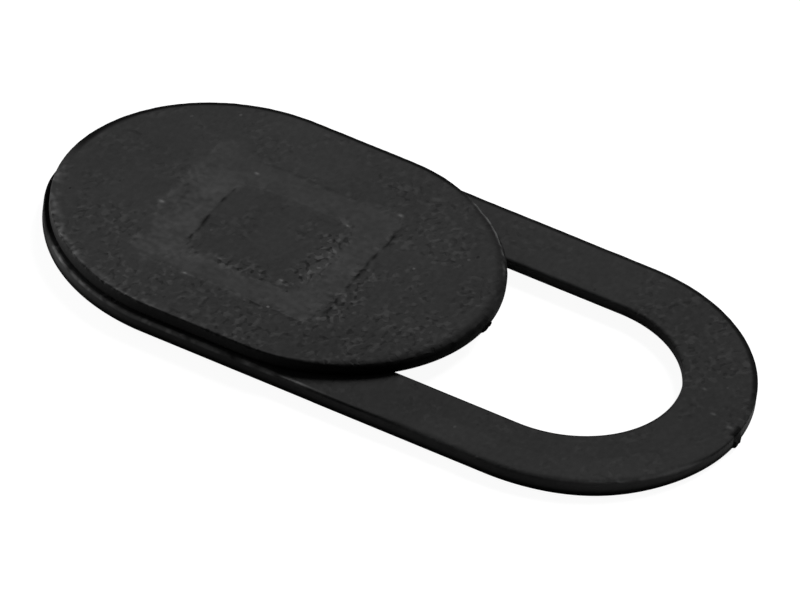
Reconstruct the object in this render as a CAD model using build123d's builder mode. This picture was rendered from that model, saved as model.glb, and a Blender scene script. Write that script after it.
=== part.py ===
"""Webcam cover slider: a thin window frame that sticks over a laptop camera, and its sliding shutter.

Millimetres. X runs along the slide and +Z points away from the laptop. The origin is the centre of the
adhesive's underside. The shutter stands at its open end, towards -X, with the window clear towards +X.
"""

import os

from build123d import *

# Frame: a stadium ring of even width, with its window through the middle
frame_length = 18.17
frame_width = 9.0
frame_thickness = 0.365
rim_width = 1.79
frame_edge_round = 0.05
window_edge_round = 0.05

# Adhesive: a ring of double-sided tape under the frame
tape_thickness = 0.1
tape_inset = 0.25
tape_groove_margin = 0.06

# Slider plate: a little smaller than the frame all round, and shorter by its travel
slider_length = 11.27
slider_thickness = 0.31
slider_side_inset = 0.14
slider_end_inset = 0.135
slider_top_round = 0.05
slider_bottom_round = 0.04

# Guide boss: a hollow square under the slider that runs in the window
boss_length = 5.0
boss_wall = 0.97
boss_shift = -0.165
boss_core_corner = 0.3
guide_clearance = 0.08
slide_gap = 0.055

# Hooks: a lip on each long side of the boss that runs in a groove under the rim
hook_length = 3.0
hook_reach = 0.34
hook_thickness = 0.14
hook_lead_in = 0.07
hook_gap = 0.03
lip_thickness = 0.25
groove_side_gap = 0.1

# Sink mark: a shallow square ring in the slider's top along the boss's walls, a little off their middle
mark_width = 5.0
mark_side_shift = -0.27
mark_depth = 0.02
mark_corner = 0.45

# Gate vestiges: the stub where each moulding was broken off its runner
gate_height = 0.16
frame_gate_width = 0.34
frame_gate_proud = 0.07
slider_gate_width = 0.42
slider_gate_proud = 0.05
gate_corner_share = 0.6

# Places that follow from the sizes above
window_length = frame_length - 2 * rim_width
window_width = frame_width - 2 * rim_width
slider_width = frame_width - 2 * slider_side_inset
travel = frame_length - 2 * slider_end_inset - slider_length
open_x = -travel / 2
boss_x = open_x + boss_shift
guide_length = window_length - 2 * guide_clearance
guide_width = window_width - 2 * guide_clearance

frame_top = tape_thickness + frame_thickness
slider_floor = frame_top + slide_gap
slider_top = slider_floor + slider_thickness
lip_floor = frame_top - lip_thickness
hook_top = lip_floor - hook_gap
hook_floor = hook_top - hook_thickness

groove_reach = hook_reach - guide_clearance + groove_side_gap
tape_window_margin = groove_reach + tape_groove_margin


def gate_vestige(tip_x, floor_z, width, proud):
    """A stub that stands proud of a moulding's tip and joins the part being built."""
    with BuildSketch(Plane.XY.offset(floor_z)) as stub:
        with Locations((tip_x, 0)):
            RectangleRounded(2 * proud, width, gate_corner_share * proud)
    extrude(stub.sketch, amount=gate_height)


# Base frame: the stadium ring, with the hooks' groove cut from below all round the window
with BuildPart() as base_frame:
    with BuildSketch(Plane.XY.offset(tape_thickness)):
        SlotOverall(frame_length, frame_width)
        SlotOverall(window_length, window_width, mode=Mode.SUBTRACT)
    extrude(amount=frame_thickness)
    rim_face = base_frame.faces().sort_by(Axis.Z)[-1]
    fillet(rim_face.outer_wire().edges(), radius=frame_edge_round)
    rim_face = base_frame.faces().sort_by(Axis.Z)[-1]
    fillet(rim_face.inner_wires()[0].edges(), radius=window_edge_round)
    with BuildSketch(Plane.XY.offset(tape_thickness)):
        SlotOverall(window_length + 2 * groove_reach, window_width + 2 * groove_reach)
    extrude(amount=lip_floor - tape_thickness, mode=Mode.SUBTRACT)
    gate_vestige(frame_length / 2, tape_thickness, frame_gate_width, frame_gate_proud)

# Slider: the shutter plate, its sink mark, and the hooked boss that holds it in the window
with BuildPart() as slider:
    with BuildSketch(Plane.XY.offset(slider_floor)):
        with Locations((open_x, 0)):
            SlotOverall(slider_length, slider_width)
    extrude(amount=slider_thickness)
    fillet(slider.faces().sort_by(Axis.Z)[-1].edges(), radius=slider_top_round)
    fillet(slider.faces().sort_by(Axis.Z)[0].edges(), radius=slider_bottom_round)

    with BuildSketch(Plane.XY.offset(slider_top)):
        with Locations((boss_x, mark_side_shift)):
            RectangleRounded(boss_length, mark_width, mark_corner)
            middle_length = boss_length - 2 * boss_wall
            middle_width = mark_width - 2 * boss_wall
            RectangleRounded(middle_length, middle_width, mark_corner, mode=Mode.SUBTRACT)
    extrude(amount=-mark_depth, mode=Mode.SUBTRACT)

    # The boss keeps clear of the window's round ends at both ends of its travel
    with BuildSketch(Plane.XY.offset(hook_floor)):
        with Locations((boss_x, 0)):
            Rectangle(boss_length, guide_width)
        for window_x in (0, -travel):
            with Locations((window_x, 0)):
                SlotOverall(guide_length, guide_width, mode=Mode.INTERSECT)
        with Locations((boss_x, 0)):
            core_length = boss_length - 2 * boss_wall
            core_width = guide_width - 2 * boss_wall
            RectangleRounded(core_length, core_width, boss_core_corner, mode=Mode.SUBTRACT)
    extrude(amount=slider_floor - hook_floor)

    # Hook profile across the slide, with a lead-in that lets it snap past the rim
    with BuildSketch(Plane.YZ.offset(boss_x - hook_length / 2)):
        hook_root = guide_width / 2 - boss_wall / 2
        hook_tip = guide_width / 2 + hook_reach
        with BuildLine():
            Polyline(
                (hook_root, hook_floor),
                (hook_tip - hook_lead_in, hook_floor),
                (hook_tip, hook_floor + hook_lead_in),
                (hook_tip, hook_top),
                (hook_root, hook_top),
                close=True,
            )
        make_face()
        mirror(about=Plane.YZ)
    extrude(amount=hook_length)

    gate_vestige(open_x + slider_length / 2, slider_floor, slider_gate_width, slider_gate_proud)

# Adhesive ring: tape between the frame's outer edge and the hooks' groove
with BuildPart() as adhesive_ring:
    with BuildSketch():
        SlotOverall(frame_length - 2 * tape_inset, frame_width - 2 * tape_inset)
        SlotOverall(
            window_length + 2 * tape_window_margin,
            window_width + 2 * tape_window_margin,
            mode=Mode.SUBTRACT,
        )
    extrude(amount=tape_thickness)

base_frame.part.label = "base_frame"
slider.part.label = "slider"
adhesive_ring.part.label = "adhesive_ring"

os.makedirs("parts", exist_ok=True)
for piece in (base_frame.part, slider.part, adhesive_ring.part):
    export_step(piece, f"parts/{piece.label}.step")
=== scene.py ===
"""Looks for the webcam cover slider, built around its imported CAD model.

Sizes are millimetres in the CAD's frame and become metres when a mesh is made, unless a comment says
metres. X runs along the slide, +Z points up, and the shutter rests at its open end, towards -X.
"""

import math

import bmesh
import bpy
import numpy as np
from mathutils import Matrix, Vector, noise
from mathutils.geometry import delaunay_2d_cdt


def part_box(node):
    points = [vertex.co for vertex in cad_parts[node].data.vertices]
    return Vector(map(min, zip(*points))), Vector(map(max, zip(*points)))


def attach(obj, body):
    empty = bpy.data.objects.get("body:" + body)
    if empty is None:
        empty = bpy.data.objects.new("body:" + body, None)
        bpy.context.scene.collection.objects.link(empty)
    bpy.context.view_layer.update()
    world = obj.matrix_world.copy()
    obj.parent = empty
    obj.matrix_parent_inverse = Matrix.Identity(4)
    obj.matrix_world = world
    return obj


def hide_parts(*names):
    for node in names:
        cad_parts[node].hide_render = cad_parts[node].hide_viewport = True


MM = 0.001

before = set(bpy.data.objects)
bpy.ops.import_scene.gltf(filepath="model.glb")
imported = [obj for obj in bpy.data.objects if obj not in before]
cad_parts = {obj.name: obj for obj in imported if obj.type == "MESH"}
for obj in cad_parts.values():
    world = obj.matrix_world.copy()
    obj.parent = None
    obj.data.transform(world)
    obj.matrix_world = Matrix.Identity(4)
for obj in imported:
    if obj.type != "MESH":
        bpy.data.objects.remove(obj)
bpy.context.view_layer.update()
frame_low, frame_high = (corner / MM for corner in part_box("base_frame"))
slider_low, slider_high = (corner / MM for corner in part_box("slider"))
tape_low, tape_high = (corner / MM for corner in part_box("adhesive_ring"))

# Frame: a gate stub stands on its right tip, so its length comes from the left one
FRAME_LENGTH = -2 * frame_low.x
FRAME_WIDTH = frame_high.y - frame_low.y
FRAME_ARC_X = (FRAME_LENGTH - FRAME_WIDTH) / 2
FRAME_FLOOR = frame_low.z
FRAME_TOP = frame_high.z
FRAME_EDGE_ROUND = 0.05
FRAME_FOOT_ROUND = 0.03
RIM_WIDTH = 1.79
WINDOW_LENGTH = FRAME_LENGTH - 2 * RIM_WIDTH
WINDOW_WIDTH = FRAME_WIDTH - 2 * RIM_WIDTH
WINDOW_ARC_X = (WINDOW_LENGTH - WINDOW_WIDTH) / 2
WINDOW_EDGE_ROUND = 0.05
WINDOW_BACK_EXTRA_ROUND = 0.05
LIP_THICKNESS = 0.25
LIP_FLOOR = FRAME_TOP - LIP_THICKNESS
GROOVE_REACH = 0.36

# Soft corner at the frame's front right: its middle and spread, how far its foot stands out, and how
# much rounder the top edge is there
SOFT_CORNER_ANGLE = math.radians(-56)
SOFT_CORNER_SPREAD = math.radians(15)
SOFT_CORNER_SPLAY = 0.07
SOFT_EDGE_EXTRA_ROUND = 0.09

# Squarer shoulder at the left end: its middle, from the tip to the front, then the frame's spread,
# bulge and depth into its rim, and the slider's spread and bulge
SHOULDER_ANGLE = math.radians(12)
FRAME_SHOULDER_SPREAD = math.radians(11)
FRAME_SHOULDER_BULGE = 0.06
FRAME_SHOULDER_DEPTH = 0.4
SLIDER_SHOULDER_SPREAD = math.radians(24)
SLIDER_SHOULDER_BULGE = 0.05

# Slider, with the width of the rim round its triangulated top
SLIDER_LENGTH = 11.27
SLIDER_WIDTH = slider_high.y - slider_low.y
SLIDER_X = slider_low.x + SLIDER_LENGTH / 2
SLIDER_ARC_X = SLIDER_X + (SLIDER_LENGTH - SLIDER_WIDTH) / 2
SLIDER_TOP = slider_high.z
SLIDER_THICKNESS = 0.31
SLIDER_FLOOR = SLIDER_TOP - SLIDER_THICKNESS
SLIDER_EDGE_ROUND = 0.04
SLIDER_RIGHT_ROUND = 0.18
SLIDER_RIGHT_DROOP = 0.03
SLIDER_FOOT_ROUND = 0.04
SLIDER_RIM = 0.3
TRAVEL = -2 * SLIDER_X

# Sink mark: a shallow square ring in the slider's top
MARK_SHIFT = -0.165
MARK_X = SLIDER_X + MARK_SHIFT
MARK_Y = -0.27
MARK_SIZE = 5.0
MARK_WALL = 0.97
MARK_MIDDLE_SIZE = MARK_SIZE - 2 * MARK_WALL
MARK_CORNER = 0.45
MARK_DEPTH = 0.02
MARK_RAMP = 0.09
MARK_WARP = 0.07

# Shares of its depth that the sink mark loses at its back left, along its back and at its front left
MARK_CORNER_LOSS = 0.7
MARK_BACK_LOSS = 0.6
MARK_FRONT_LOSS = 0.5

# Guide boss and hooks under the slider
BOSS_X = MARK_X
BOSS_LENGTH = MARK_SIZE
BOSS_WALL = MARK_WALL
BOSS_CORE_CORNER = 0.3
GUIDE_CLEARANCE = 0.08
GUIDE_WIDTH = WINDOW_WIDTH - 2 * GUIDE_CLEARANCE
HOOK_FLOOR = slider_low.z
HOOK_THICKNESS = 0.14
HOOK_LENGTH = 3.0
HOOK_REACH = 0.34
HOOK_LEAD_IN = 0.07
HOOK_ROOT_LIFT = 0.002

# Gate stubs at the right tips: width, how far they stand out, and the seed of their torn face
FRAME_GATE = (0.34, 0.07, 3)
SLIDER_GATE = (0.42, 0.05, 7)
GATE_HEIGHT = 0.16
GATE_MARGIN = 0.03
GATE_LEAST_FACING = 0.9
GATE_MEAN = 0.8
GATE_TEAR = 0.35
GATE_TEAR_SIZE = 0.09

# Tape
TAPE_GROOVE_MARGIN = 0.06
TAPE_BEVEL = 0.02

# Mesh fineness: steps along outlines and the underside, the grid of the slider's top, closer points
# near the tips, points of a small corner, and the shares of the slider's rim at which it has a row
STEP = 0.06
UNDER_STEP = 0.15
TOP_GRID = 0.042
TIP_ANGLE = 0.09
TIP_POINTS = 41
LEAST_CORNER_POINTS = 4
RIM_SHARES = (0.12, 0.25, 0.45, 0.7, 1.0)

# Points joined and slivers removed, in metres, the triangulation's settings, the fold that is drawn
# sharp, and two limits that keep divisions away from zero
JOIN_DISTANCE = 2e-7
SLIVER_LENGTH = 1e-8
TRIANGLES_INSIDE = 1
TRIANGLE_EPSILON = 1e-7
SHARP_ANGLE = math.radians(40)
LEAST_FACING = 0.1
TINY = 1e-9

# Noise in layers of strength, feature size and seed, first for the shapes
FRAME_RIPPLE = ((0.003, 0.9, 1),)
SLIDER_RIPPLE = ((0.003, 1.1, 2),)
FRAME_EDGE_WAVER = ((0.25, 0.25, 4),)
SLIDER_EDGE_WAVER = ((0.25, 0.2, 5),)
SLIDER_EDGE_NICKS = ((0.006, 0.12, 6),)
WARP_ALONG = ((1.0, 0.6, 11), (0.5, 0.2, 11))
WARP_ACROSS = ((1.0, 0.6, 12), (0.5, 0.2, 12))
SEED_SHIFT = (17.3, 5.1, 9.7)

# Noise for the tones, the painted shade and the painted highlights
STEP_SHADE_BREAKS = ((1.6, 0.3, 13),)
RING_PATCHES = ((0.6, 0.7, 14), (0.8, 0.15, 19))
RING_RAGGED = ((0.16, 0.16, 17), (0.24, 0.6, 18))
GLINT_BREAKS = ((1.2, 0.14, 21),)
SLIDER_WEAR_AND_HIGHLIGHT = ((0.9, 0.13, 15), (0.8, 0.42, 20))
FRAME_RIM_HIGHLIGHT_BREAKS = ((0.7, 0.3, 16),)
FRAME_RIM_HIGHLIGHT_FLECKS = ((1.0, 0.14, 22),)

# Bright nicks in the tops: place along and across the slide, and size. The frame's last is at its gate
SLIDER_NICKS = (
    (-6.22, -0.59, 0.07),
    (-2.40, -1.63, 0.05),
    (-1.23, 2.29, 0.06),
    (-2.10, 1.19, 0.04),
    (-4.85, 1.72, 0.05),
    (-4.45, -2.72, 0.05),
)
FRAME_NICKS = (
    (7.67, 1.02, 0.05),
    (8.28, 0.28, 0.06),
    (8.84, 0.05, 0.07),
)
NICK_FLATNESS = 0.7
SLIDER_NICK_GAIN = 2.6
FRAME_NICK_GAIN = 1.8

# Tone of the sink mark's ring and its middle, and painted shade lines in the steps along its outline.
# Gains and losses are shares of a piece's plain tone, here and below
RING_GAIN = 0.38
RING_SOFT = 0.26
RING_LEAD = 0.4
RING_LEFT_REACH = 0.32
RING_LEFT_GAIN = 0.4
RING_BACK_LOSS = 0.4
RING_CORNER_LOSS = 0.6
RING_PATCH_MEAN = 0.75
RING_PATCH_RANGE = (0.2, 1.2)
MIDDLE_LOSS = 0.05
MIDDLE_RIGHT_GAIN = 0.14
STEP_SHADE_LOSS = 0.78
STEP_SHADE_LEAST = 0.25
STEP_SHADE_BREAK_MEAN = 0.5
STEP_SHADE_BACK_SHARE = 0.3
STEP_SHADE_FRONT_SHARE = 0.6
SHADE_LINE_WIDTH = 0.05
RIGHT_SHADE_LINE_WIDTH = 0.055

# Tone of the slider's top and rim, with painted shade on the right rim, a painted glint, and a worn
# pale left rim with a painted highlight. The painted shade line along the back edge is the frame's too
FRONT_LOSS = 0.12
RIGHT_LOSS = 0.09
BACK_RIGHT_LOSS = 0.08
RIGHT_RIM_PAINTED_SHADE = 0.55
GLINT_GAIN = 6
GLINT_BREAK_MEAN = 0.7
SLIDER_WEAR_AND_HIGHLIGHT_GAIN = 1.4
SLIDER_WEAR_AND_HIGHLIGHT_MEAN = 0.4
BACK_EDGE_PAINTED_SHADE = 0.85

# Painted light and shade on the slider's wall: at its left from top to foot, and at its right from
# front to back, with painted shade at its foot and its back
SLIDER_WALL_LEFT = (1.5, 0.8)
SLIDER_WALL_RIGHT = (0.2, 0.5)
SLIDER_WALL_FOOT_LOSS = 0.9
SLIDER_WALL_BACK_LOSS = 0.5

# Tone of the frame's top: a painted highlight on the rim, painted shade at the softer edge, the back
# rail, a painted shade line along the window, and dark tips: painted shade at the left tip, darker
# round the gate
FRAME_RIM_HIGHLIGHT_GAIN = 5.5
FRAME_RIM_HIGHLIGHT_MEAN = 0.7
FRAME_RIM_HIGHLIGHT_REACH = 0.08
FRAME_RIM_HIGHLIGHT_EXTRA_REACH = 0.04
RIM_HIGHLIGHT_FLECK_GAIN = 0.8
SOFT_EDGE_PAINTED_SHADE = 0.12
BACK_RAIL_GAIN = 0.1
WINDOW_EDGE_PAINTED_SHADE = 0.55
TIP_LOSS = 0.85

# Painted light and shade on the frame's walls: dark to the foot, lighter at the right end, darker at
# the back, and a painted light on the window's wall at the back
FRAME_WALL_FOOT = 0.08
FRAME_WALL_LOW_GAIN = 1.9
FRAME_WALL_TOP_GAIN = 1.2
FRAME_WALL_RIGHT_GAIN = 0.5
FRAME_WALL_BACK_LOSS = 0.7
WINDOW_WALL = 0.5
WINDOW_WALL_BACK_GAIN = 2.2

# Coarseness of the grain, and how far below the tops it and the polish reach
SLIDER_COARSE = 0.45
SLIDER_COARSE_RIGHT = 0.35
SLIDER_COARSE_FRONT = 0.45
SLIDER_COARSE_BESIDE = 0.55
MIDDLE_RIGHT_COARSE = 1.6
MARK_FLOOR_FINER = 0.6
FRAME_COARSE = 0.4
FRAME_COARSE_BACK_RIGHT = 0.33
TOP_SKIN = 0.06

# Where the walls' tone gives way to the tops': depth below the top, or below the rim's round, and span
SLIDER_TOP_BLEND = (0.05, 0.03)
WINDOW_BLEND = (0.06, 0.05)
RIM_BLEND = (0.03, 0.04)
SOFT_EDGE_EXTRA_BLEND = 0.05

# Plastic: the grain's place is in millimetres, shortened across the slide so that its marks are longer
GRAIN_PLACE_SCALE = (1000, 650, 1000)
GRAIN_SCALE = 8.0
CLUSTER_SCALE = 1.3
CLOUD_SCALE = 0.8
SPECK_SCALE = 3.2
HOLLOW_SHIFT = (31.7, 12.9, 5.3)
NOISE_ROUGHNESS = 0.55
NOISE_MEAN = 0.5
NOISE_RANGE = (0.3, 0.7)
CLOUD_TONES = (0.94, 1.06)
CLUSTER_RANGE = (0.5, 0.72)
CLUSTER_GROWTH = 0.15
BLOB_RANGE = (0.52, 0.74)
SPECK_EDGE = (0.16, 0.06)
SPECK_CHOICE = (0.9, 1.0)

# Plastic: how strongly each kind of mark shows in the tone and in the bump, the bump's height in
# metres, and the gloss
FRAME_TONE = 0.029
SLIDER_TONE = 0.034
LEAST_TONE = 0.002
GRAIN_TONE = 0.25
GRAIN_COARSE_TONE = 0.35
BLOB_TONE = 0.4
HOLLOW_TONE = -0.35
SPECK_TONE = 0.06
PIT_TONE = -0.02
SPECK_HEIGHT = 1.2
BLOB_HEIGHT = 0.7
GRAIN_BUMP = 16e-6
PLAIN_ROUGHNESS = 0.62
MARK_ROUGHNESS = 0.52
PLASTIC_SPECULAR = 0.01

# Tape material, with its mottle's scale and bump in metres
MOTTLE_SCALE = 1500.0
TAPE_TONES = (0.58, 0.66)
TAPE_ROUGHNESS = (0.25, 0.4)
TAPE_BUMP = 8e-6

# Camera, matched to the photograph's outlines
CAMERA_AZIMUTH = math.radians(22.80)
CAMERA_ELEVATION = math.radians(37.65)
CAMERA_ROLL = math.radians(7.85)
CAMERA_DISTANCE = 400.0
CAMERA_RIGHT_OFFSET = 0.032
CAMERA_UP_OFFSET = 0.147
CAMERA_LENS = 754.3
CAMERA_CLIP = (10, 2000)
SENSOR_WIDTH = 36.0

# Floor: just below the tape, so that the two faces don't coincide, and its size in metres
FLOOR_GAP = 0.01
FLOOR_SIZE = 2.0
FLOOR_TONE = 0.2
FLOOR_GLOW = 0.94

# Lamps: place and size in metres, and watts
KEY_LAMP = ((0.038, 0.216, 0.205), (0.13, 0.13), 1.03)
LEFT_LAMP = ((-0.28, 0.06, 0.03), (0.2, 0.05), 0.8)
WORLD_STRENGTH = 0.05
WHITE = (1, 1, 1, 1)


# Fades and noise


def smooth(t):
    """A soft step from 0 to 1 while t goes from 0 to 1."""
    t = np.clip(t, 0, 1)
    return t * t * (3 - 2 * t)


def above(value, start, span):
    """0 up to a start, then a soft rise to 1 over a span."""
    return smooth((value - start) / span)


def below(value, end, span):
    """A soft fall from 1 to 0 over the span before an end."""
    return smooth((end - value) / span)


def mix(first, second, share):
    """The first value at share 0 and the second at share 1."""
    return first + (second - first) * share


def line_mask(distance, width):
    """A thin line along an outline, from the distance to it."""
    return np.exp(-((distance / width) ** 2))


def run_mask(value, low, high, soft):
    """1 between two limits, fading out beyond them."""
    return smooth((value - low) / soft + 0.5) * smooth((high - value) / soft + 0.5)


def stretch(distance, width, across, start, along, run, soft):
    """A line on one side of an outline, where across is past its start, along a run of that side."""
    return line_mask(distance, width) * (across > start) * run_mask(along, *run, soft)


def spot(x, y, centre, reach, span):
    """1 round a centre, fading out over the span before its reach."""
    return below(np.hypot(x - centre[0], y - centre[1]), reach, span)


def wander(x, y, size, seed):
    """Smooth noise in -1..1 over a plan, with features of the given size."""
    shift = Vector([seed * step for step in SEED_SHIFT])
    return np.array([noise.noise(Vector((a / size, b / size, 0)) + shift) for a, b in zip(x, y)])


def uneven(x, y, layers):
    """The sum of noise layers, each with its strength, feature size and seed."""
    return sum(strength * wander(x, y, size, seed) for strength, size, seed in layers)


# Outlines


def stations(length, width):
    """Points on a stadium's mid-line and their outward directions.

    They run anticlockwise from the right end's front, and are closer together at the tips, where a
    gate stub stands.
    """
    half = (length - width) / 2
    turn = np.linspace(-math.pi / 2, math.pi / 2, int(math.pi * width / 2 / STEP), endpoint=False)
    tip = np.linspace(-TIP_ANGLE, TIP_ANGLE, TIP_POINTS)
    turn = np.unique(np.concatenate([turn[np.abs(turn) > TIP_ANGLE], tip]))
    run = np.linspace(half, -half, int(2 * half / STEP), endpoint=False)
    arc_out = np.c_[np.cos(turn), np.sin(turn)]
    arc_spine = np.tile((half, 0.0), (len(turn), 1))
    run_out = np.tile((0.0, 1.0), (len(run), 1))
    run_spine = np.c_[run, np.zeros(len(run))]
    spine = np.vstack([arc_spine, run_spine, -arc_spine, -run_spine])
    out = np.vstack([arc_out, run_out, -arc_out, -run_out])
    return spine, out


def quarter(steps):
    """Angles of a quarter turn."""
    return np.linspace(0, math.pi / 2, steps + 1)


def between(points):
    """Even shares from 0 to 1, without the two ends."""
    return np.linspace(0, 1, points)[1:-1]


def box_distance(x, y, centre, size, corner):
    """Distance to a rounded rectangle's outline, negative inside."""
    qx = np.abs(x - centre[0]) - (size[0] / 2 - corner)
    qy = np.abs(y - centre[1]) - (size[1] / 2 - corner)
    outside = np.hypot(np.maximum(qx, 0), np.maximum(qy, 0))
    return outside + np.minimum(np.maximum(qx, qy), 0) - corner


def stadium_depth(x, y, centre_x, length, width):
    """How far a point is inside a stadium's outline."""
    return -box_distance(x, y, (centre_x, 0), (length, width), width / 2)


def slider_depth(x, y):
    """How far a point is inside the slider's outline."""
    return stadium_depth(x, y, SLIDER_X, SLIDER_LENGTH, SLIDER_WIDTH)


def box_loop(centre, size, corner, step):
    """A rounded rectangle's outline as points, anticlockwise."""
    count = max(LEAST_CORNER_POINTS, int(corner * math.pi / 2 / step))
    turn = np.linspace(0, math.pi / 2, count)
    points = []
    for k, (sx, sy) in enumerate(((1, 1), (-1, 1), (-1, -1), (1, -1))):
        hub = np.array(centre) + (sx * (size[0] / 2 - corner), sy * (size[1] / 2 - corner))
        angle = turn + k * math.pi / 2
        points.append(hub + corner * np.c_[np.cos(angle), np.sin(angle)])
    return divided(np.vstack(points), step)


def divided(loop, step):
    """A closed loop with extra points where its sides are longer than a step."""
    out = []
    for a, b in zip(loop, np.roll(loop, -1, axis=0)):
        n = max(1, int(np.hypot(*(b - a)) / step))
        out.append(a + (b - a) * np.linspace(0, 1, n, endpoint=False)[:, None])
    return np.vstack(out)


def boss_half_width(x):
    """The guide boss's half width, which follows the window's round ends at both joint limits."""
    past = np.maximum(np.maximum(-WINDOW_ARC_X - x, x - (WINDOW_ARC_X - TRAVEL)), 0)
    return np.sqrt(np.maximum((GUIDE_WIDTH / 2) ** 2 - past**2, 0))


def boss_loop():
    """The guide boss's outline as points, anticlockwise."""
    count = int(BOSS_LENGTH / UNDER_STEP)
    x = np.linspace(BOSS_X - BOSS_LENGTH / 2, BOSS_X + BOSS_LENGTH / 2, count)
    y = boss_half_width(x)
    return divided(np.vstack([np.c_[x, -y], np.c_[x, y][::-1]]), UNDER_STEP)


# Meshes


def make_mesh(name, parts):
    """One mesh from (points, faces) parts, with coincident points joined."""
    points, faces, start = [], [], 0
    for p, f in parts:
        points.append(p)
        faces += [tuple(start + i for i in face) for face in f]
        start += len(p)
    mesh = bpy.data.meshes.new(name)
    mesh.from_pydata((np.vstack(points) * MM).tolist(), [], faces)
    bm = bmesh.new()
    bm.from_mesh(mesh)
    bmesh.ops.remove_doubles(bm, verts=bm.verts, dist=JOIN_DISTANCE)
    bmesh.ops.dissolve_degenerate(bm, edges=bm.edges, dist=SLIVER_LENGTH)
    bmesh.ops.recalc_face_normals(bm, faces=bm.faces)
    bm.to_mesh(mesh)
    bm.free()
    mesh.shade_smooth()
    mesh.set_sharp_from_angle(angle=SHARP_ANGLE)
    piece = bpy.data.objects.new(name, mesh)
    bpy.context.scene.collection.objects.link(piece)
    return piece


def sweep(rows, closed):
    """Quads between profile rows, each row a closed loop of points round the part."""
    points = np.stack(rows, axis=1)
    n, m = points.shape[:2]
    a = np.arange(n) * m
    b = np.roll(a, -1)
    faces = []
    for j in range(m if closed else m - 1):
        k = (j + 1) % m
        faces += np.c_[a + j, b + j, b + k, a + k].tolist()
    return points.reshape(-1, 3), faces


def patch(loops, inside, height, keep=None):
    """A patch between closed loops and loose inside points, lifted by height(x, y)."""
    points = [Vector(p) for loop in loops for p in loop] + [Vector(p) for p in inside]
    edges, start = [], 0
    for loop in loops:
        n = len(loop)
        edges += [(start + i, start + (i + 1) % n) for i in range(n)]
        start += n
    places, _, triangles = delaunay_2d_cdt(points, edges, [], TRIANGLES_INSIDE, TRIANGLE_EPSILON)[:3]
    flat = np.array([tuple(p) for p in places])
    faces = np.array(list(triangles))
    if keep is not None:
        centre = flat[faces].mean(axis=1)
        faces = faces[keep(centre[:, 0], centre[:, 1])]
    return np.c_[flat, height(flat[:, 0], flat[:, 1])], faces.tolist()


def level(z):
    """A flat height over the plan."""
    return lambda x, y: np.full(len(x), z)


def wall(loop, low, high):
    """A straight wall along a closed loop, between two heights over the plan."""
    rows = [np.c_[loop, height(loop[:, 0], loop[:, 1])] for height in (low, high)]
    return sweep(rows, closed=False)


def gate_bulge(spine, out, reach, z, floor, gate):
    """How far a broken gate stub pushes the wall out near the right tip."""
    width, proud, seed = gate
    y = spine[:, 1] + out[:, 1] * reach
    near = (out[:, 0] > GATE_LEAST_FACING) * below(np.abs(y), width / 2 + GATE_MARGIN, span=0.05)
    tall = above(z - floor, -GATE_MARGIN, span=0.04) * below(z, floor + GATE_HEIGHT, span=0.05)
    torn = GATE_MEAN + GATE_TEAR * wander(y, np.full(len(y), z), GATE_TEAR_SIZE, seed)
    return proud * near * tall * torn


def bell(angle, middle, spread):
    """1 at a middle angle, falling off on both sides of it."""
    return np.exp(-(((angle - middle) / spread) ** 2) / 2)


def soft_corner(spine, out):
    """Share of the frame's soft front right corner at each station."""
    angle = np.arctan2(out[:, 1], out[:, 0])
    return (spine[:, 0] > 0) * bell(angle, SOFT_CORNER_ANGLE, SOFT_CORNER_SPREAD)


def soft_edge(x, y):
    """Share of the softer top edge along the frame's front right."""
    return above(x, 0.5, span=2.5) * above(-y, 0.8, span=1.5)


def left_shoulder(out, spread):
    """Share of the left end's squarer shoulder at each station."""
    angle = np.arctan2(-out[:, 1], -out[:, 0])
    return (out[:, 0] < 0) * bell(angle, SHOULDER_ANGLE, spread)


def frame_shoulder(out):
    """How far the frame's left end stands out of its half circle, within the frame's own length."""
    bulge = FRAME_SHOULDER_BULGE * left_shoulder(out, FRAME_SHOULDER_SPREAD)
    facing_left = np.maximum(-out[:, 0], LEAST_FACING)
    room = FRAME_WIDTH / 2 * (1 / facing_left - 1)
    return bulge * room / np.hypot(bulge, room + TINY)


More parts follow.
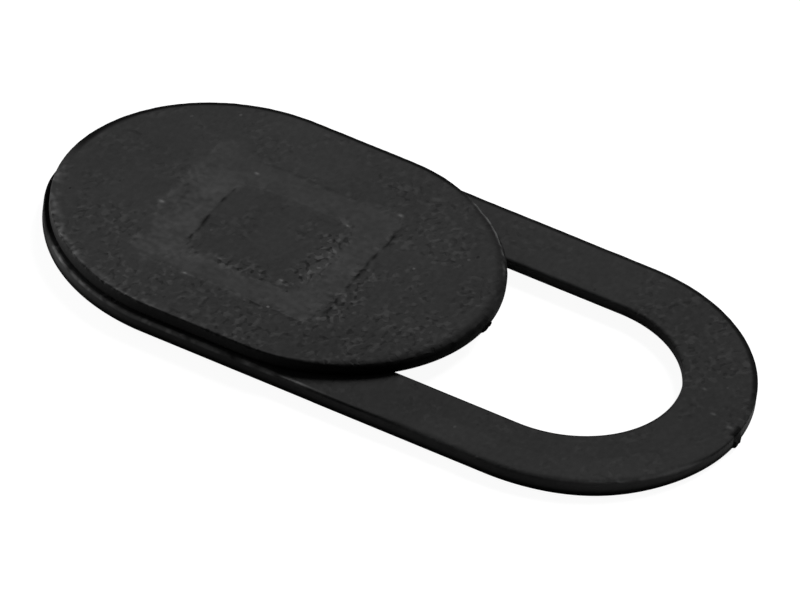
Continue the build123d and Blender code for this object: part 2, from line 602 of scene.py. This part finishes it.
def make_frame_mesh():
    """The frame as one closed sweep.

    Profile rows hold reach, height and the share of the soft corner's splay.
    """
    spine, out = stations(FRAME_LENGTH, FRAME_WIDTH)
    ones = np.ones(len(spine))
    outer, inner = FRAME_WIDTH / 2 * ones, WINDOW_WIDTH / 2 * ones
    rim = spine + out * outer[:, None]
    edge = FRAME_EDGE_ROUND + SOFT_EDGE_EXTRA_ROUND * soft_edge(rim[:, 0], rim[:, 1])
    edge = edge * (1 + uneven(rim[:, 0], rim[:, 1], FRAME_EDGE_WAVER))
    lip = WINDOW_EDGE_ROUND + WINDOW_BACK_EXTRA_ROUND * smooth(out[:, 1])
    foot = FRAME_FOOT_ROUND

    profile = []
    for a in quarter(steps=3):
        reach = outer - foot * (1 - math.sin(a))
        profile.append((reach, FRAME_FLOOR + foot * (1 - math.cos(a)) * ones, 1.0))
    for t in between(points=8):
        z = FRAME_FLOOR + foot + (FRAME_TOP - edge - FRAME_FLOOR - foot) * t
        profile.append((outer, z, 1 - t))
    for a in quarter(steps=9):
        reach = outer - edge * (1 - math.cos(a))
        profile.append((reach, FRAME_TOP - edge * (1 - math.sin(a)), 0.0))
    for t in between(points=int(RIM_WIDTH / STEP)):
        profile.append((outer - edge - (RIM_WIDTH - edge - lip) * t, FRAME_TOP * ones, 0.0))
    for a in quarter(steps=6):
        reach = inner + lip * (1 - math.sin(a))
        profile.append((reach, (FRAME_TOP - lip * (1 - math.cos(a))) * ones, 0.0))
    groove = inner + GROOVE_REACH
    for reach, z in ((inner, LIP_FLOOR), (groove, LIP_FLOOR), (groove, FRAME_FLOOR)):
        profile.append((reach, z * ones, 0.0))

    corner, shoulder = soft_corner(spine, out), frame_shoulder(out)
    rows = []
    for reach, z, splay in profile:
        push = SOFT_CORNER_SPLAY * corner * splay
        push = push + shoulder * above(reach - outer, -FRAME_SHOULDER_DEPTH, span=0.3)
        if reach[0] > outer[0] - FRAME_EDGE_ROUND:
            push = push + gate_bulge(spine, out, outer[0], z[0], FRAME_FLOOR, FRAME_GATE)
        xy = spine + out * (reach + push)[:, None]
        ripple = uneven(xy[:, 0], xy[:, 1], FRAME_RIPPLE) * (z > FRAME_TOP - FRAME_EDGE_ROUND)
        rows.append(np.c_[xy, z + ripple])
    return make_mesh("frame_moulding", [sweep(rows, closed=True)])


def warp(x, y):
    """Small sideways wander, along and across, that makes the sink mark's outline uneven."""
    return tuple(MARK_WARP * uneven(x, y, layers) for layers in (WARP_ALONG, WARP_ACROSS))


def from_mark(x, y):
    """Places along and across the slide, counted from the sink mark's centre."""
    return x - MARK_X, y - MARK_Y


def mark_distances(x, y):
    """Distances to the sink mark's outer outline and to its middle's outline."""
    dx, dy = warp(x, y)
    centre = (MARK_X, MARK_Y)
    outer = box_distance(x + dx, y + dy, centre, (MARK_SIZE, MARK_SIZE), MARK_CORNER)
    middle = box_distance(x + dx, y + dy, centre, (MARK_MIDDLE_SIZE, MARK_MIDDLE_SIZE), MARK_CORNER)
    return outer, middle


def mark_share(x, y):
    """The sink mark's share of its full depth, less along its back and at its left corners."""
    outer, middle = mark_distances(x, y)
    u, v = from_mark(x, y)
    kept = 1 - MARK_CORNER_LOSS * spot(u, v, (-2.3, 2.3), reach=1.68, span=1.4)
    kept *= 1 - MARK_BACK_LOSS * above(v, 1.0, span=0.8)
    kept *= 1 - MARK_FRONT_LOSS * below(v, -1.4, span=0.6) * below(u, 0.8, span=1.5)
    return smooth(-outer / MARK_RAMP) * smooth(middle / MARK_RAMP) * kept


def slider_top(x, y):
    """Height of the slider's top, with its sink mark."""
    return SLIDER_TOP - MARK_DEPTH * mark_share(x, y) + uneven(x, y, SLIDER_RIPPLE)


def slider_top_points():
    """A grid over the slider's top that keeps clear of its rim and of the sink mark's lines."""
    along = np.arange(-SLIDER_LENGTH / 2, SLIDER_LENGTH / 2, TOP_GRID) + SLIDER_X
    across = np.arange(-SLIDER_WIDTH / 2, SLIDER_WIDTH / 2, TOP_GRID)
    x, y = (axis.ravel() for axis in np.meshgrid(along, across))
    clear = TOP_GRID / 2
    outer, middle = mark_distances(x, y)
    free = slider_depth(x, y) > SLIDER_RIM + clear
    for line in (outer, outer + MARK_RAMP, middle, middle - MARK_RAMP):
        free &= np.abs(line) > clear
    return np.c_[x, y][free]


def mark_loops():
    """The four lines where the sink mark's slopes start and end."""
    loops = []
    for inset in (0, MARK_RAMP):
        outer = (MARK_SIZE - 2 * inset, MARK_CORNER - inset)
        middle = (MARK_MIDDLE_SIZE + 2 * inset, MARK_CORNER + inset)
        for size, corner in (outer, middle):
            loop = box_loop((MARK_X, MARK_Y), (size, size), corner, TOP_GRID)
            dx, dy = warp(loop[:, 0], loop[:, 1])
            loops.append(loop - np.c_[dx, dy])
    return loops


def slider_underside(x, y):
    """Height of the slider's underside, which sags at the right end."""
    return SLIDER_FLOOR - SLIDER_RIGHT_DROOP * above(x, -1.5, span=3.0)


def slider_edge_round(out):
    """The top edge is crisp, and rounder at the right end."""
    return mix(SLIDER_EDGE_ROUND, SLIDER_RIGHT_ROUND, above(out[:, 0], 0.2, span=0.4))


def slider_rows():
    """The slider's rim from its underside to its top, as rows of points round it.

    Profile rows hold reach, height and the share of the top's nicks and ripples.
    """
    spine, out = stations(SLIDER_LENGTH, SLIDER_WIDTH)
    spine = spine + (SLIDER_X, 0)
    outer = SLIDER_WIDTH / 2 + SLIDER_SHOULDER_BULGE * left_shoulder(out, SLIDER_SHOULDER_SPREAD)
    rim = spine + out * outer[:, None]
    edge = slider_edge_round(out) * (1 + uneven(rim[:, 0], rim[:, 1], SLIDER_EDGE_WAVER))
    nick = uneven(rim[:, 0], rim[:, 1], SLIDER_EDGE_NICKS)
    foot = SLIDER_FOOT_ROUND
    floor = slider_underside(rim[:, 0] - foot * out[:, 0], rim[:, 1])

    profile = []
    for a in quarter(steps=4):
        profile.append((outer - foot * (1 - math.sin(a)), floor + foot * (1 - math.cos(a)), 0.0))
    for t in between(points=6):
        profile.append((outer, floor + foot + (SLIDER_TOP - floor - foot - edge) * t, t / 2))
    for a in quarter(steps=9):
        reach = outer - edge * (1 - math.cos(a))
        profile.append((reach, SLIDER_TOP - edge * (1 - math.sin(a)), (1 + math.sin(a)) / 2))
    for t in RIM_SHARES:
        profile.append((outer - edge - (SLIDER_RIM - edge) * t, np.full(len(spine), SLIDER_TOP), 1.0))

    rows = []
    for reach, z, share in profile:
        push = gate_bulge(spine, out, outer[0], z[0], SLIDER_FLOOR, SLIDER_GATE)
        xy = spine + out * (reach + push + nick * share)[:, None]
        rows.append(np.c_[xy, z + share * uneven(xy[:, 0], xy[:, 1], SLIDER_RIPPLE)])
    return rows


def make_slider_mesh():
    """The slider's rim, its top with the sink mark, its underside, and the boss with its hooks."""
    rows = slider_rows()
    top = patch([rows[-1][:, :2]] + mark_loops(), slider_top_points(), slider_top)

    boss = boss_loop()
    core_size = (BOSS_LENGTH - 2 * BOSS_WALL, GUIDE_WIDTH - 2 * BOSS_WALL)
    core = box_loop((BOSS_X, 0), core_size, BOSS_CORE_CORNER, UNDER_STEP)

    def in_core(x, y):
        return box_distance(x, y, (BOSS_X, 0), core_size, BOSS_CORE_CORNER) < 0

    def off_wall(x, y):
        in_boss = (np.abs(x - BOSS_X) < BOSS_LENGTH / 2) & (np.abs(y) < boss_half_width(x))
        return ~in_boss | in_core(x, y)

    under = patch([rows[0][:, :2], boss, core], [], slider_underside, off_wall)
    boss_foot = patch([boss, core], [], level(HOOK_FLOOR), lambda x, y: ~in_core(x, y))
    walls = [wall(loop, level(HOOK_FLOOR), slider_underside) for loop in (boss, core)]
    parts = [sweep(rows, closed=False), top, under, boss_foot] + walls + [hook(1), hook(-1)]
    return make_mesh("slider_moulding", parts)


def hook(side):
    """A lip along one side of the boss, with a lead-in below."""
    root, tip = GUIDE_WIDTH / 2 - BOSS_WALL / 2, GUIDE_WIDTH / 2 + HOOK_REACH
    top = HOOK_FLOOR + HOOK_THICKNESS
    shape = [
        (root, HOOK_FLOOR + HOOK_ROOT_LIFT),
        (tip - HOOK_LEAD_IN, HOOK_FLOOR),
        (tip, HOOK_FLOOR + HOOK_LEAD_IN),
        (tip, top),
        (root, top),
    ]
    ends = BOSS_X - HOOK_LENGTH / 2, BOSS_X + HOOK_LENGTH / 2
    points = [(x, side * y, z) for x in ends for y, z in shape]
    n = len(shape)
    faces = [tuple(range(n)), tuple(range(n, 2 * n))]
    faces += [(i, (i + 1) % n, n + (i + 1) % n, n + i) for i in range(n)]
    return np.array(points), faces


def make_tape_mesh():
    """The tape ring, with its lower edges bevelled."""
    length, width = tape_high.x - tape_low.x, tape_high.y - tape_low.y
    spine, out = stations(length, width)
    outer, inner = width / 2, WINDOW_WIDTH / 2 + GROOVE_REACH + TAPE_GROOVE_MARGIN
    profile = [
        (outer, tape_low.z + TAPE_BEVEL),
        (outer, tape_high.z),
        (inner, tape_high.z),
        (inner, tape_low.z + TAPE_BEVEL),
        (inner + TAPE_BEVEL, tape_low.z),
        (outer - TAPE_BEVEL, tape_low.z),
    ]
    rows = [np.c_[spine + out * reach, np.full(len(spine), z)] for reach, z in profile]
    return make_mesh("tape_ring", [sweep(rows, closed=True)])


# Tone, wear, painted shade and painted highlights, stored per point for the materials


def paint(piece, **layers):
    """Stores values per point that the materials read, each from a function of (x, y, z)."""
    mesh = piece.data
    place = np.empty(len(mesh.vertices) * 3)
    mesh.vertices.foreach_get("co", place)
    x, y, z = place.reshape(-1, 3).T / MM
    for name, layer in layers.items():
        values = layer(x, y, z) * np.ones(len(x))
        attribute = mesh.attributes.new(name, "FLOAT", "POINT")
        attribute.data.foreach_set("value", values.astype(np.float32))


def nicks(x, y, places):
    """Bright nicks at the given places, a little longer along the slide than across it."""
    return sum(
        line_mask(np.hypot(x - nick_x, (y - nick_y) / NICK_FLATNESS), size)
        for nick_x, nick_y, size in places
    )


def step_shade_lines(x, y, outer, middle):
    """Painted shade lines in the steps along parts of the sink mark's outline."""
    u, v = from_mark(x, y)
    left = stretch(middle, SHADE_LINE_WIDTH, across=-u, start=1.2, along=v, run=(-1.25, 1.15), soft=0.25)
    right = stretch(outer, RIGHT_SHADE_LINE_WIDTH, across=u, start=1.8, along=v, run=(-1.9, 2.2), soft=0.5)
    back = stretch(outer, SHADE_LINE_WIDTH, across=v, start=2.0, along=u, run=(-1.1, 0.5), soft=0.6)
    front = stretch(outer, SHADE_LINE_WIDTH, across=-v, start=2.0, along=u, run=(0.6, 1.9), soft=0.5)
    lines = [left, right, STEP_SHADE_BACK_SHARE * back, STEP_SHADE_FRONT_SHARE * front]
    broken = mix(STEP_SHADE_LEAST, 1, smooth(STEP_SHADE_BREAK_MEAN + uneven(x, y, STEP_SHADE_BREAKS)))
    return np.maximum.reduce(lines) * broken


def mark_tone(x, y):
    """Lightness at the sink mark: a pale ragged ring round its middle, and painted shade lines in its
    steps.
    """
    outer, middle = mark_distances(x, y)
    u, v = from_mark(x, y)
    ragged = uneven(x, y, RING_RAGGED)
    left_reach = RING_LEFT_REACH * below(u, -1.6, span=0.5) * above(v, -1.6, span=1.2)
    ring = smooth((ragged + left_reach - outer) / RING_SOFT + RING_LEAD)
    ring *= smooth((ragged + middle) / RING_SOFT + RING_LEAD)
    ring *= 1 - RING_CORNER_LOSS * spot(u, v, (-2.0, 2.6), reach=1.68, span=1.4)
    ring *= 1 - RING_BACK_LOSS * above(v, 1.0, span=0.8) * above(u, -1.6, span=0.8)
    ring *= 1 + RING_LEFT_GAIN * below(u, -1.4, span=0.5)
    ring *= np.clip(RING_PATCH_MEAN + uneven(x, y, RING_PATCHES), *RING_PATCH_RANGE)
    tone = (1 + RING_GAIN * ring) * (1 - MIDDLE_LOSS * below(middle, 0, span=0.2))
    middle_right = stretch(
        middle + 0.15, width=0.35, across=u, start=0.6, along=v, run=(-1.2, 1.0), soft=0.5
    )
    tone *= 1 + MIDDLE_RIGHT_GAIN * middle_right
    return tone * (1 - STEP_SHADE_LOSS * step_shade_lines(x, y, outer, middle))


def right_end_angle(x, y):
    """Degrees round the slider's right end, from its tip towards the back."""
    return np.degrees(np.arctan2(y, x - SLIDER_ARC_X))


def slider_top_tone(x, y):
    """Lightness of the slider's top: darker to the right, with a painted shade line at the back edge.

    Its right rim has painted shade with a broken painted glint, and its left rim is worn pale with a
    painted highlight.
    """
    depth = slider_depth(x, y)
    tone = mark_tone(x, y)
    tone *= 1 - FRONT_LOSS * below(y, -1.2, span=1.6) * above(x, -4.0, span=3.0)
    back_right = above(y, 1.5, span=1.5) * above(x, -3.0, span=2.0)
    tone *= 1 - RIGHT_LOSS * above(x, -0.8, span=2.0) - BACK_RIGHT_LOSS * back_right

    in_end, angle = x > SLIDER_ARC_X, right_end_angle(x, y)
    # Painted shade on the right rim, and a broken painted glint along its back edge
    right_rim_shade = in_end * run_mask(angle, low=-42, high=62, soft=25)
    tone *= 1 - RIGHT_RIM_PAINTED_SHADE * right_rim_shade * below(depth, 0.34, span=0.25)
    glint = in_end * run_mask(angle, low=26, high=62, soft=12) * below(depth, 0.14, span=0.05)
    glint *= smooth(GLINT_BREAK_MEAN + uneven(x, y, GLINT_BREAKS))
    # A painted shade line along the back edge
    back_edge_shade = above(y, -0.6, span=1.2) * below(depth, 0.17, span=0.07) * (1 - right_rim_shade)
    tone *= (1 + GLINT_GAIN * glint) * (1 - BACK_EDGE_PAINTED_SHADE * back_edge_shade)

    # The left front rim is worn pale and carries a painted highlight
    pale_rim = below(x, -1.5, span=4.5) * below(y, -0.4, span=1.1) * below(depth, 0.27, span=0.25)
    pale_rim *= smooth(SLIDER_WEAR_AND_HIGHLIGHT_MEAN + uneven(x, y, SLIDER_WEAR_AND_HIGHLIGHT))
    return tone * (1 + SLIDER_WEAR_AND_HIGHLIGHT_GAIN * pale_rim) + SLIDER_NICK_GAIN * nicks(x, y, SLIDER_NICKS)


def slider_wall_painted_shade(x, y, z):
    """Painted light and shade on the slider's wall: lighter at its left, dark at its foot, its right
    end and its back.
    """
    drop = np.clip((SLIDER_TOP - z) / SLIDER_THICKNESS, 0, 1)
    left = mix(*SLIDER_WALL_LEFT, drop)
    right = mix(*SLIDER_WALL_RIGHT, above(right_end_angle(x, y), -5, span=13))
    right *= 1 - SLIDER_WALL_FOOT_LOSS * above(drop, 0.5, span=0.3)
    tone = mix(left, right, above(x, -3.2, span=4.0))
    return tone * (1 - SLIDER_WALL_BACK_LOSS * above(y, 0.5, span=2.5))


def slider_shade(x, y, z):
    """Lightness of the slider, with painted light and shade on its walls and rims."""
    drop, span = SLIDER_TOP_BLEND
    on_top = above(z, SLIDER_TOP - drop, span)
    return mix(slider_wall_painted_shade(x, y, z), slider_top_tone(x, y), on_top)


def slider_coarse(x, y, z):
    """The grain is coarser to the front and right, coarsest by the sink mark and fine inside it."""
    outer, middle = mark_distances(x, y)
    u, v = from_mark(x, y)
    coarse = SLIDER_COARSE + SLIDER_COARSE_RIGHT * above(x, -3.5, span=2.5)
    coarse = coarse + SLIDER_COARSE_FRONT * below(y, -0.5, span=2.0)
    mark_floor = below(outer, -0.05, span=0.15) * above(middle, 0.08, span=0.15)
    coarse = np.clip(coarse, 0, 1) * (1 - MARK_FLOOR_FINER * mark_floor)
    middle_right = stretch(
        middle + 0.12, width=0.3, across=u, start=0.6, along=v, run=(-1.2, 1.0), soft=0.5
    )
    middle_front = stretch(
        middle + 0.05, width=0.26, across=-v, start=0.8, along=u, run=(-0.8, 1.4), soft=0.4
    )
    along_right = stretch(
        outer - 0.2, width=0.3, across=u, start=1.8, along=v, run=(-2.2, 0.2), soft=0.6
    )
    beside = np.maximum.reduce([MIDDLE_RIGHT_COARSE * middle_right, middle_front, along_right])
    return (coarse + SLIDER_COARSE_BESIDE * beside) * (z > SLIDER_TOP - TOP_SKIN)


def slider_polish(x, y, z):
    """The sink mark's floor is a little glossier."""
    return mark_share(x, y) * (z > SLIDER_TOP - TOP_SKIN)


def frame_left_tip_shade(x, y):
    """Share of the frame's left tip, whose edge gets painted shade instead of the painted highlight."""
    from_tip = np.degrees(np.arctan2(-y, -FRAME_ARC_X - x))
    return below(from_tip, 50, span=14) * below(x, 2 - FRAME_ARC_X, span=3.0)


def frame_top_tone(x, y, depth):
    """Lightness of the frame's top: painted shade along the back and window edges and at the softer
    edge, and a painted highlight on the rim at the left front.
    """
    # A painted highlight along the rim at the left front, broken up by noise
    pale_rim = below(x, 0.8, span=2.0) * below(y, 0.5, span=2.0) * (1 - frame_left_tip_shade(x, y))
    wider = FRAME_RIM_HIGHLIGHT_EXTRA_REACH * run_mask(x, low=-4.0, high=-0.2, soft=1.5)
    pale_rim *= below(depth, FRAME_RIM_HIGHLIGHT_REACH + wider, span=0.05)
    pale_rim *= smooth(FRAME_RIM_HIGHLIGHT_MEAN + uneven(x, y, FRAME_RIM_HIGHLIGHT_BREAKS))
    pale_rim *= 1 + RIM_HIGHLIGHT_FLECK_GAIN * above(uneven(x, y, FRAME_RIM_HIGHLIGHT_FLECKS), 0.2, span=0.25)
    # A painted shade line along the back edge
    back_edge_shade = above(y, 0.3, span=1.5) * below(depth, 0.16, span=0.07)
    tone = (1 - BACK_EDGE_PAINTED_SHADE * back_edge_shade) * (1 + FRAME_RIM_HIGHLIGHT_GAIN * pale_rim)
    # Painted shade on the softer front right edge
    tone *= 1 - SOFT_EDGE_PAINTED_SHADE * soft_edge(x, y) * below(depth, 0.26, span=0.2)
    tone *= 1 + BACK_RAIL_GAIN * above(y, 1.5, span=1.5) * below(x, 6.0, span=3.0)
    # A painted shade line along the window's edge at the front
    window_edge_shade = above(depth, RIM_WIDTH - 0.1, span=0.06) * below(y, 1.0, span=2.0)
    return tone * (1 - WINDOW_EDGE_PAINTED_SHADE * window_edge_shade) + FRAME_NICK_GAIN * nicks(x, y, FRAME_NICKS)


def frame_wall_painted_shade(x, y, z, depth):
    """Painted light and shade on the frame's walls: dark at the foot, and at the back a painted light
    on the window's wall alone.
    """
    rise = np.clip((z - FRAME_FLOOR) / (FRAME_TOP - FRAME_FLOOR), 0, 1)
    at_back = above(y, 0.5, span=2.5)
    outer_wall = FRAME_WALL_FOOT + FRAME_WALL_LOW_GAIN * above(rise, 0.14, span=0.4)
    outer_wall = outer_wall + FRAME_WALL_TOP_GAIN * rise**2
    outer_wall *= 1 + FRAME_WALL_RIGHT_GAIN * above(x, 5.5, span=2.0)
    outer_wall *= 1 - FRAME_WALL_BACK_LOSS * at_back
    lit = above(rise, 0.35, span=0.6) * at_back * below(x, 6.3, span=2.0)
    return np.where(depth > RIM_WIDTH / 2, WINDOW_WALL + WINDOW_WALL_BACK_GAIN * lit, outer_wall)


def frame_shade(x, y, z):
    """Lightness of the frame, with painted shade on the edge at its left tip, and its edge darker round
    its gate.
    """
    depth = stadium_depth(x, y, 0, FRAME_LENGTH, FRAME_WIDTH)
    rim_drop, rim_span = RIM_BLEND
    rim_span = rim_span + SOFT_EDGE_EXTRA_BLEND * soft_edge(x, y)
    over_rim = above(z, FRAME_TOP - FRAME_EDGE_ROUND - rim_drop, rim_span)
    window_drop, window_span = WINDOW_BLEND
    over_window = above(z, FRAME_TOP - window_drop, window_span)
    on_top = np.where(depth > RIM_WIDTH / 2, over_window, over_rim)
    tone = mix(frame_wall_painted_shade(x, y, z, depth), frame_top_tone(x, y, depth), on_top)
    # Painted shade on the left tip's edge; the edge round the gate is darkened too
    at_gate = (x > 0) * below(np.abs(y), 0.24, span=0.08)
    tip_shade_and_gate = below(depth, 0.14, span=0.05) * np.maximum(frame_left_tip_shade(x, y), at_gate)
    return tone * (1 - TIP_LOSS * tip_shade_and_gate)


def frame_coarse(x, y, z):
    """The grain is coarser towards the frame's back right."""
    back_right = above(x, 3.5, span=2.5) * above(y, -1.0, span=2.0)
    return (FRAME_COARSE + FRAME_COARSE_BACK_RIGHT * back_right) * (z > FRAME_TOP - TOP_SKIN)


# Materials


class Nodes:
    """Short calls for building a node tree."""

    def __init__(self, material):
        material.use_nodes = True
        self.tree = material.node_tree
        self.shader = self.tree.nodes["Principled BSDF"]

    def add(self, kind, inputs=(), **settings):
        node = self.tree.nodes.new(kind)
        for key, value in settings.items():
            setattr(node, key, value)
        for key, value in dict(inputs).items():
            self.set(node.inputs[key], value)
        return node

    def set(self, socket, value):
        if isinstance(value, bpy.types.NodeSocket):
            self.tree.links.new(value, socket)
        else:
            socket.default_value = value

    def math(self, operation, *values):
        node = self.add("ShaderNodeMath", operation=operation)
        for socket, value in zip(node.inputs, values):
            self.set(socket, value)
        return node.outputs[0]

    def remap(self, value, low, high, to_low=0.0, to_high=1.0):
        inputs = {"Value": value, "From Min": low, "From Max": high}
        inputs |= {"To Min": to_low, "To Max": to_high}
        return self.add("ShaderNodeMapRange", inputs, interpolation_type="SMOOTHSTEP").outputs[0]

    def noise(self, place, scale, detail):
        inputs = {"Vector": place, "Scale": scale, "Detail": detail, "Roughness": NOISE_ROUGHNESS}
        return self.add("ShaderNodeTexNoise", inputs).outputs[0]

    def place(self):
        return self.add("ShaderNodeTexCoord").outputs["Object"]

    def vector(self, operation, place, by):
        return self.add("ShaderNodeVectorMath", {0: place, 1: by}, operation=operation).outputs[0]

    def layer(self, name):
        return self.add("ShaderNodeAttribute", attribute_name=name).outputs["Fac"]

    def grey(self, value):
        return self.add("ShaderNodeCombineColor", {0: value, 1: value, 2: value}).outputs[0]

    def bump(self, height, distance):
        node = self.add("ShaderNodeBump", {"Height": height, "Distance": distance, "Strength": 1.0})
        self.set(self.shader.inputs["Normal"], node.outputs[0])


def plastic(name, tone):
    """Matte black plastic: spark-eroded, with patches of coarser grain, pale specks and dark pits."""
    material = bpy.data.materials.new(name)
    n = Nodes(material)
    place = n.vector("MULTIPLY", n.place(), GRAIN_PLACE_SCALE)
    shifted = n.vector("ADD", place, HOLLOW_SHIFT)
    shade, coarse, polish = (n.layer(layer) for layer in ("shade", "coarse", "polish"))

    grain = n.math("SUBTRACT", n.noise(place, GRAIN_SCALE, detail=2.0), NOISE_MEAN)
    contrast = n.math("MULTIPLY_ADD", coarse, GRAIN_COARSE_TONE, GRAIN_TONE)
    cloud = n.remap(n.noise(place, CLOUD_SCALE, detail=3.0), *NOISE_RANGE, *CLOUD_TONES)
    spread = n.math("MULTIPLY_ADD", coarse, CLUSTER_GROWTH, n.noise(place, CLUSTER_SCALE, detail=3.0))
    cluster = n.math("MULTIPLY", n.remap(spread, *CLUSTER_RANGE), coarse)
    blob, hollow = (
        n.math("MULTIPLY", n.remap(n.noise(where, GRAIN_SCALE, detail=0.0), *BLOB_RANGE), cluster)
        for where in (place, shifted)
    )
    cell = n.add("ShaderNodeTexVoronoi", {"Vector": place, "Scale": SPECK_SCALE})
    choice = n.add("ShaderNodeSeparateColor", {0: cell.outputs["Color"]}).outputs
    dot = n.math("MULTIPLY", n.remap(cell.outputs["Distance"], *SPECK_EDGE), coarse)
    speck, pit = (n.math("MULTIPLY", dot, n.remap(choice[k], *SPECK_CHOICE)) for k in (0, 1))

    ripple = n.math("MULTIPLY_ADD", grain, contrast, cloud)
    ripple = n.math("MULTIPLY_ADD", hollow, HOLLOW_TONE, ripple)
    ripple = n.math("MULTIPLY_ADD", blob, BLOB_TONE, ripple)
    # The shade layer carries the tone together with the painted shade and painted highlights
    value = n.math("MULTIPLY", n.math("MULTIPLY", shade, tone), ripple)
    value = n.math("MULTIPLY_ADD", speck, SPECK_TONE, value)
    value = n.math("MULTIPLY_ADD", pit, PIT_TONE, value)
    n.set(n.shader.inputs["Base Color"], n.grey(n.math("MAXIMUM", value, LEAST_TONE)))
    n.set(n.shader.inputs["Roughness"], n.remap(polish, 0, 1, PLAIN_ROUGHNESS, MARK_ROUGHNESS))
    n.set(n.shader.inputs["Specular IOR Level"], PLASTIC_SPECULAR)

    height = n.math("MULTIPLY", grain, contrast)
    height = n.math("MULTIPLY_ADD", n.math("SUBTRACT", speck, pit), SPECK_HEIGHT, height)
    height = n.math("MULTIPLY_ADD", n.math("SUBTRACT", blob, hollow), BLOB_HEIGHT, height)
    n.bump(height, GRAIN_BUMP)
    return material


def tape_material():
    """Milky acrylic tape with a faint mottle."""
    material = bpy.data.materials.new("acrylic_tape")
    n = Nodes(material)
    mottle = n.noise(n.place(), MOTTLE_SCALE, detail=3.0)
    n.set(n.shader.inputs["Base Color"], n.grey(n.remap(mottle, *NOISE_RANGE, *TAPE_TONES)))
    n.set(n.shader.inputs["Roughness"], n.remap(mottle, *NOISE_RANGE, *TAPE_ROUGHNESS))
    n.bump(mottle, TAPE_BUMP)
    return material


# Stage


def make_camera():
    """A long lens from the front right, rolled as the photograph is."""
    a, e, w = CAMERA_AZIMUTH, CAMERA_ELEVATION, CAMERA_ROLL
    back = Vector((math.sin(a) * math.cos(e), -math.cos(a) * math.cos(e), math.sin(e)))
    flat_right = Vector((math.cos(a), math.sin(a), 0.0))
    up = back.cross(flat_right)
    image_right = flat_right * math.cos(w) + up * math.sin(w)
    image_up = up * math.cos(w) - flat_right * math.sin(w)
    target = Vector((0, 0, FRAME_FLOOR))
    target += image_right * CAMERA_RIGHT_OFFSET + image_up * CAMERA_UP_OFFSET
    data = bpy.data.cameras.new("camera")
    data.sensor_width = SENSOR_WIDTH
    data.lens = CAMERA_LENS
    data.clip_start, data.clip_end = (distance * MM for distance in CAMERA_CLIP)
    camera = bpy.data.objects.new("camera", data)
    bpy.context.scene.collection.objects.link(camera)
    rotation = Matrix((image_right, image_up, back)).transposed().to_4x4()
    camera.matrix_world = Matrix.Translation((target + back * CAMERA_DISTANCE) * MM) @ rotation
    bpy.context.scene.camera = camera


def make_floor():
    """A pale floor that the camera and reflections see as nearly white, with the object's shadow."""
    bpy.ops.mesh.primitive_plane_add(size=FLOOR_SIZE, location=(0, 0, -FLOOR_GAP * MM))
    floor = bpy.context.object
    floor.name = "floor"
    material = bpy.data.materials.new("floor")
    n = Nodes(material)
    n.set(n.shader.inputs["Base Color"], (FLOOR_TONE, FLOOR_TONE, FLOOR_TONE, 1))
    n.set(n.shader.inputs["Roughness"], 1.0)
    n.set(n.shader.inputs["Specular IOR Level"], 0.0)
    path = n.add("ShaderNodeLightPath").outputs
    seen = n.math("MAXIMUM", path["Is Camera Ray"], path["Is Glossy Ray"])
    seen = n.math("MAXIMUM", seen, path["Is Transmission Ray"])
    n.set(n.shader.inputs["Emission Color"], WHITE)
    n.set(n.shader.inputs["Emission Strength"], n.math("MULTIPLY", seen, FLOOR_GLOW))
    floor.data.materials.append(material)


def area_light(name, place, size, watts):
    """A rectangular lamp that faces the object."""
    data = bpy.data.lights.new(name, "AREA")
    data.shape = "RECTANGLE"
    data.size, data.size_y = size
    data.energy = watts
    lamp = bpy.data.objects.new(name, data)
    bpy.context.scene.collection.objects.link(lamp)
    lamp.location = place
    lamp.rotation_euler = (-Vector(place)).to_track_quat("-Z", "Y").to_euler()


def make_lights():
    """A soft key from behind, a strip from the left, and a faint white world."""
    area_light("key", *KEY_LAMP)
    area_light("left_strip", *LEFT_LAMP)
    world = bpy.data.worlds.new("world")
    bpy.context.scene.world = world
    world.use_nodes = True
    background = world.node_tree.nodes["Background"]
    background.inputs["Color"].default_value = WHITE
    background.inputs["Strength"].default_value = WORLD_STRENGTH


def dress(piece, node, body, material):
    """Puts a piece in the place of its CAD node, with its material."""
    piece.data.materials.append(material)
    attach(piece, body)
    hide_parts(node)


frame_piece = make_frame_mesh()
paint(frame_piece, shade=frame_shade, coarse=frame_coarse, polish=lambda x, y, z: 0)
dress(frame_piece, "base_frame", "frame", plastic("frame_plastic", FRAME_TONE))
slider_piece = make_slider_mesh()
paint(slider_piece, shade=slider_shade, coarse=slider_coarse, polish=slider_polish)
dress(slider_piece, "slider", "shutter", plastic("slider_plastic", SLIDER_TONE))
dress(make_tape_mesh(), "adhesive_ring", "frame", tape_material())
make_camera()
make_floor()
make_lights()
bpy.context.scene.view_settings.view_transform = "Standard"
